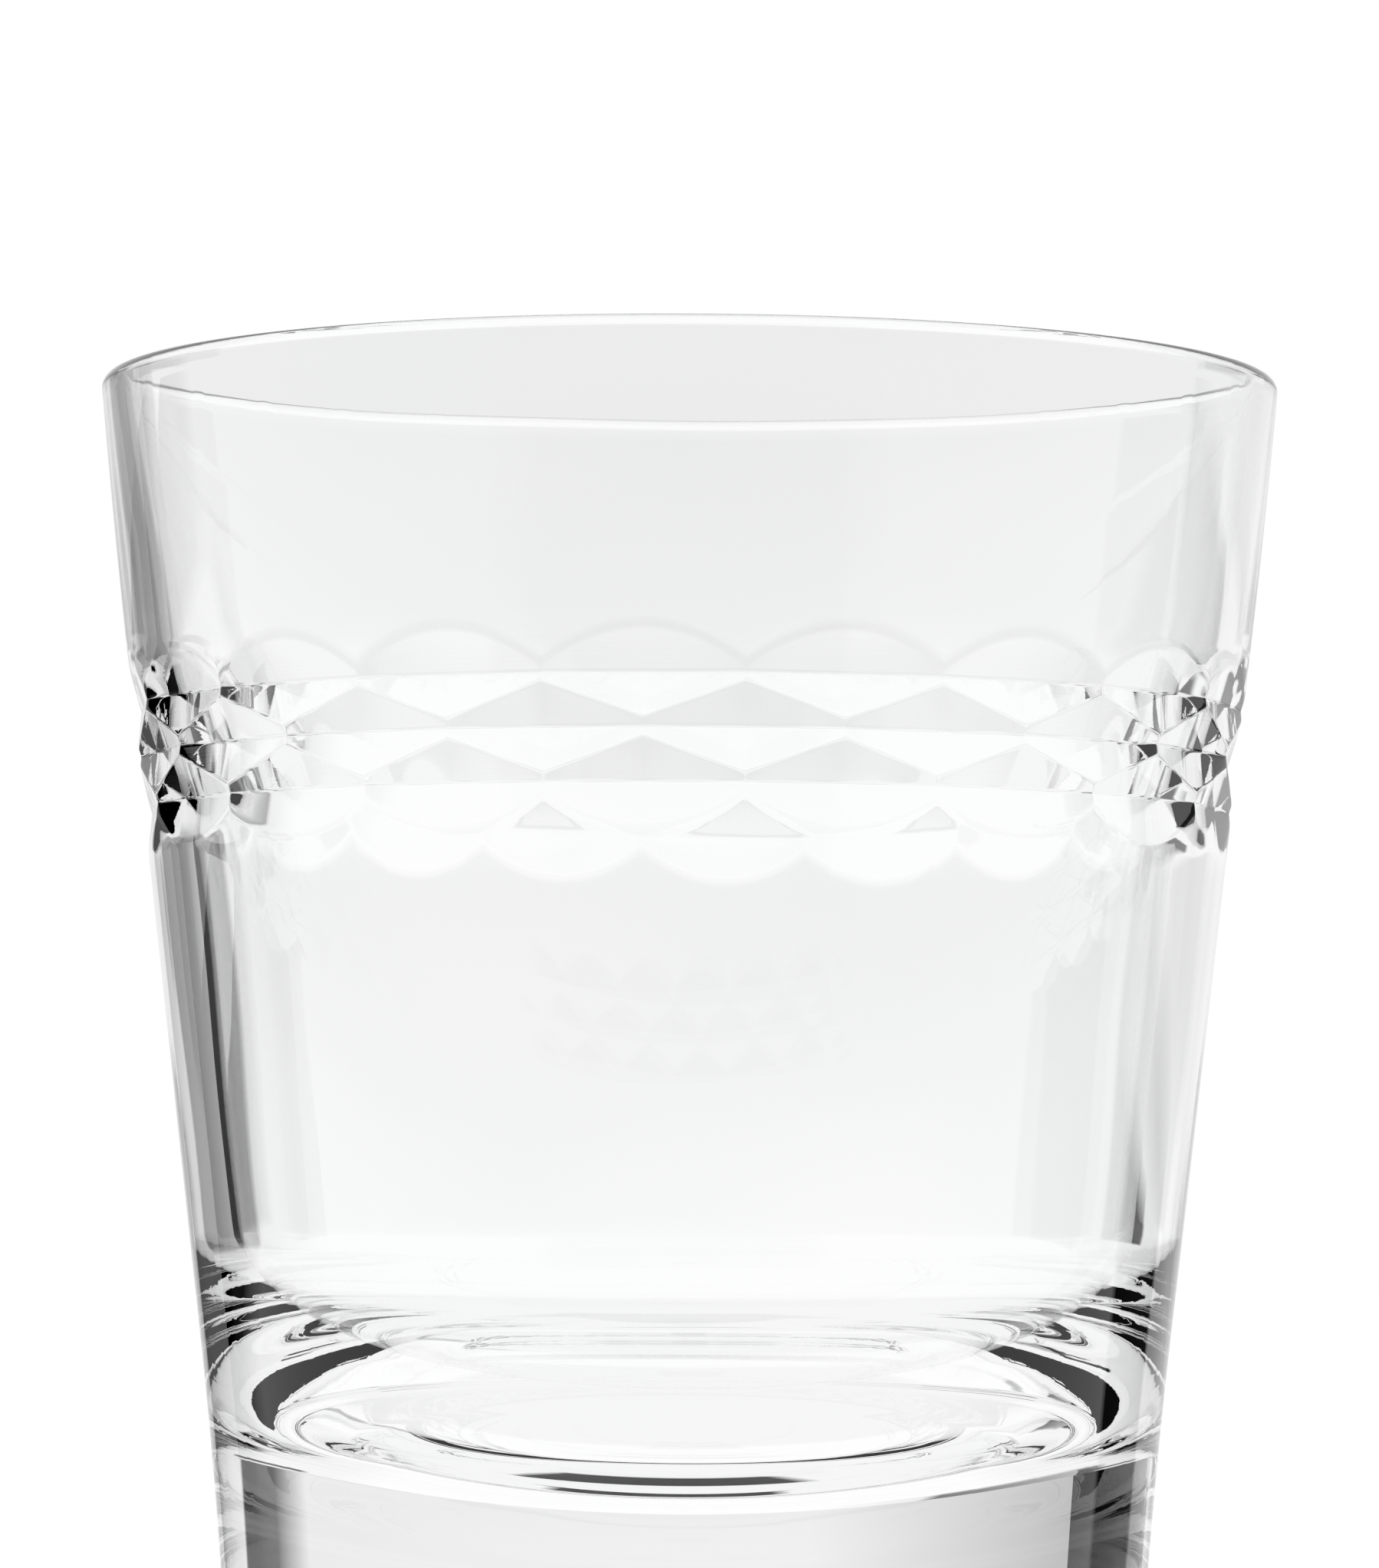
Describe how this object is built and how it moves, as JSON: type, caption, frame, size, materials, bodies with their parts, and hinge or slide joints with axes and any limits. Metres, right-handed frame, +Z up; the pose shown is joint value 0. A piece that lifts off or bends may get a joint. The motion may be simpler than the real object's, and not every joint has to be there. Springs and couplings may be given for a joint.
{
  "type": "whiskey tumbler",
  "caption": "Clear cut-crystal whiskey tumbler with a tapered round wall, a band of staggered mitre cuts, a rounded cavity floor and a thick solid base.",
  "frame": {"origin": "centre of the standing face, on the surface that the tumbler stands on", "axes": "+Z up along the tumbler's axis towards the lip; the front is at -Y and X runs across"},
  "size_m": [0.09, 0.09, 0.102],
  "materials": {
    "polished_glass": "clear colourless crystal, fire polished",
    "cut_glass": "clear colourless crystal, wheel cut and polished flat facets"
  },
  "bodies": {
    "root": {"rim": "polished_glass", "upper_wall": "polished_glass", "cut_band": "cut_glass", "lower_wall": "polished_glass", "heel": "polished_glass", "base": "polished_glass", "foot": "polished_glass"}
  },
  "joints": []
}
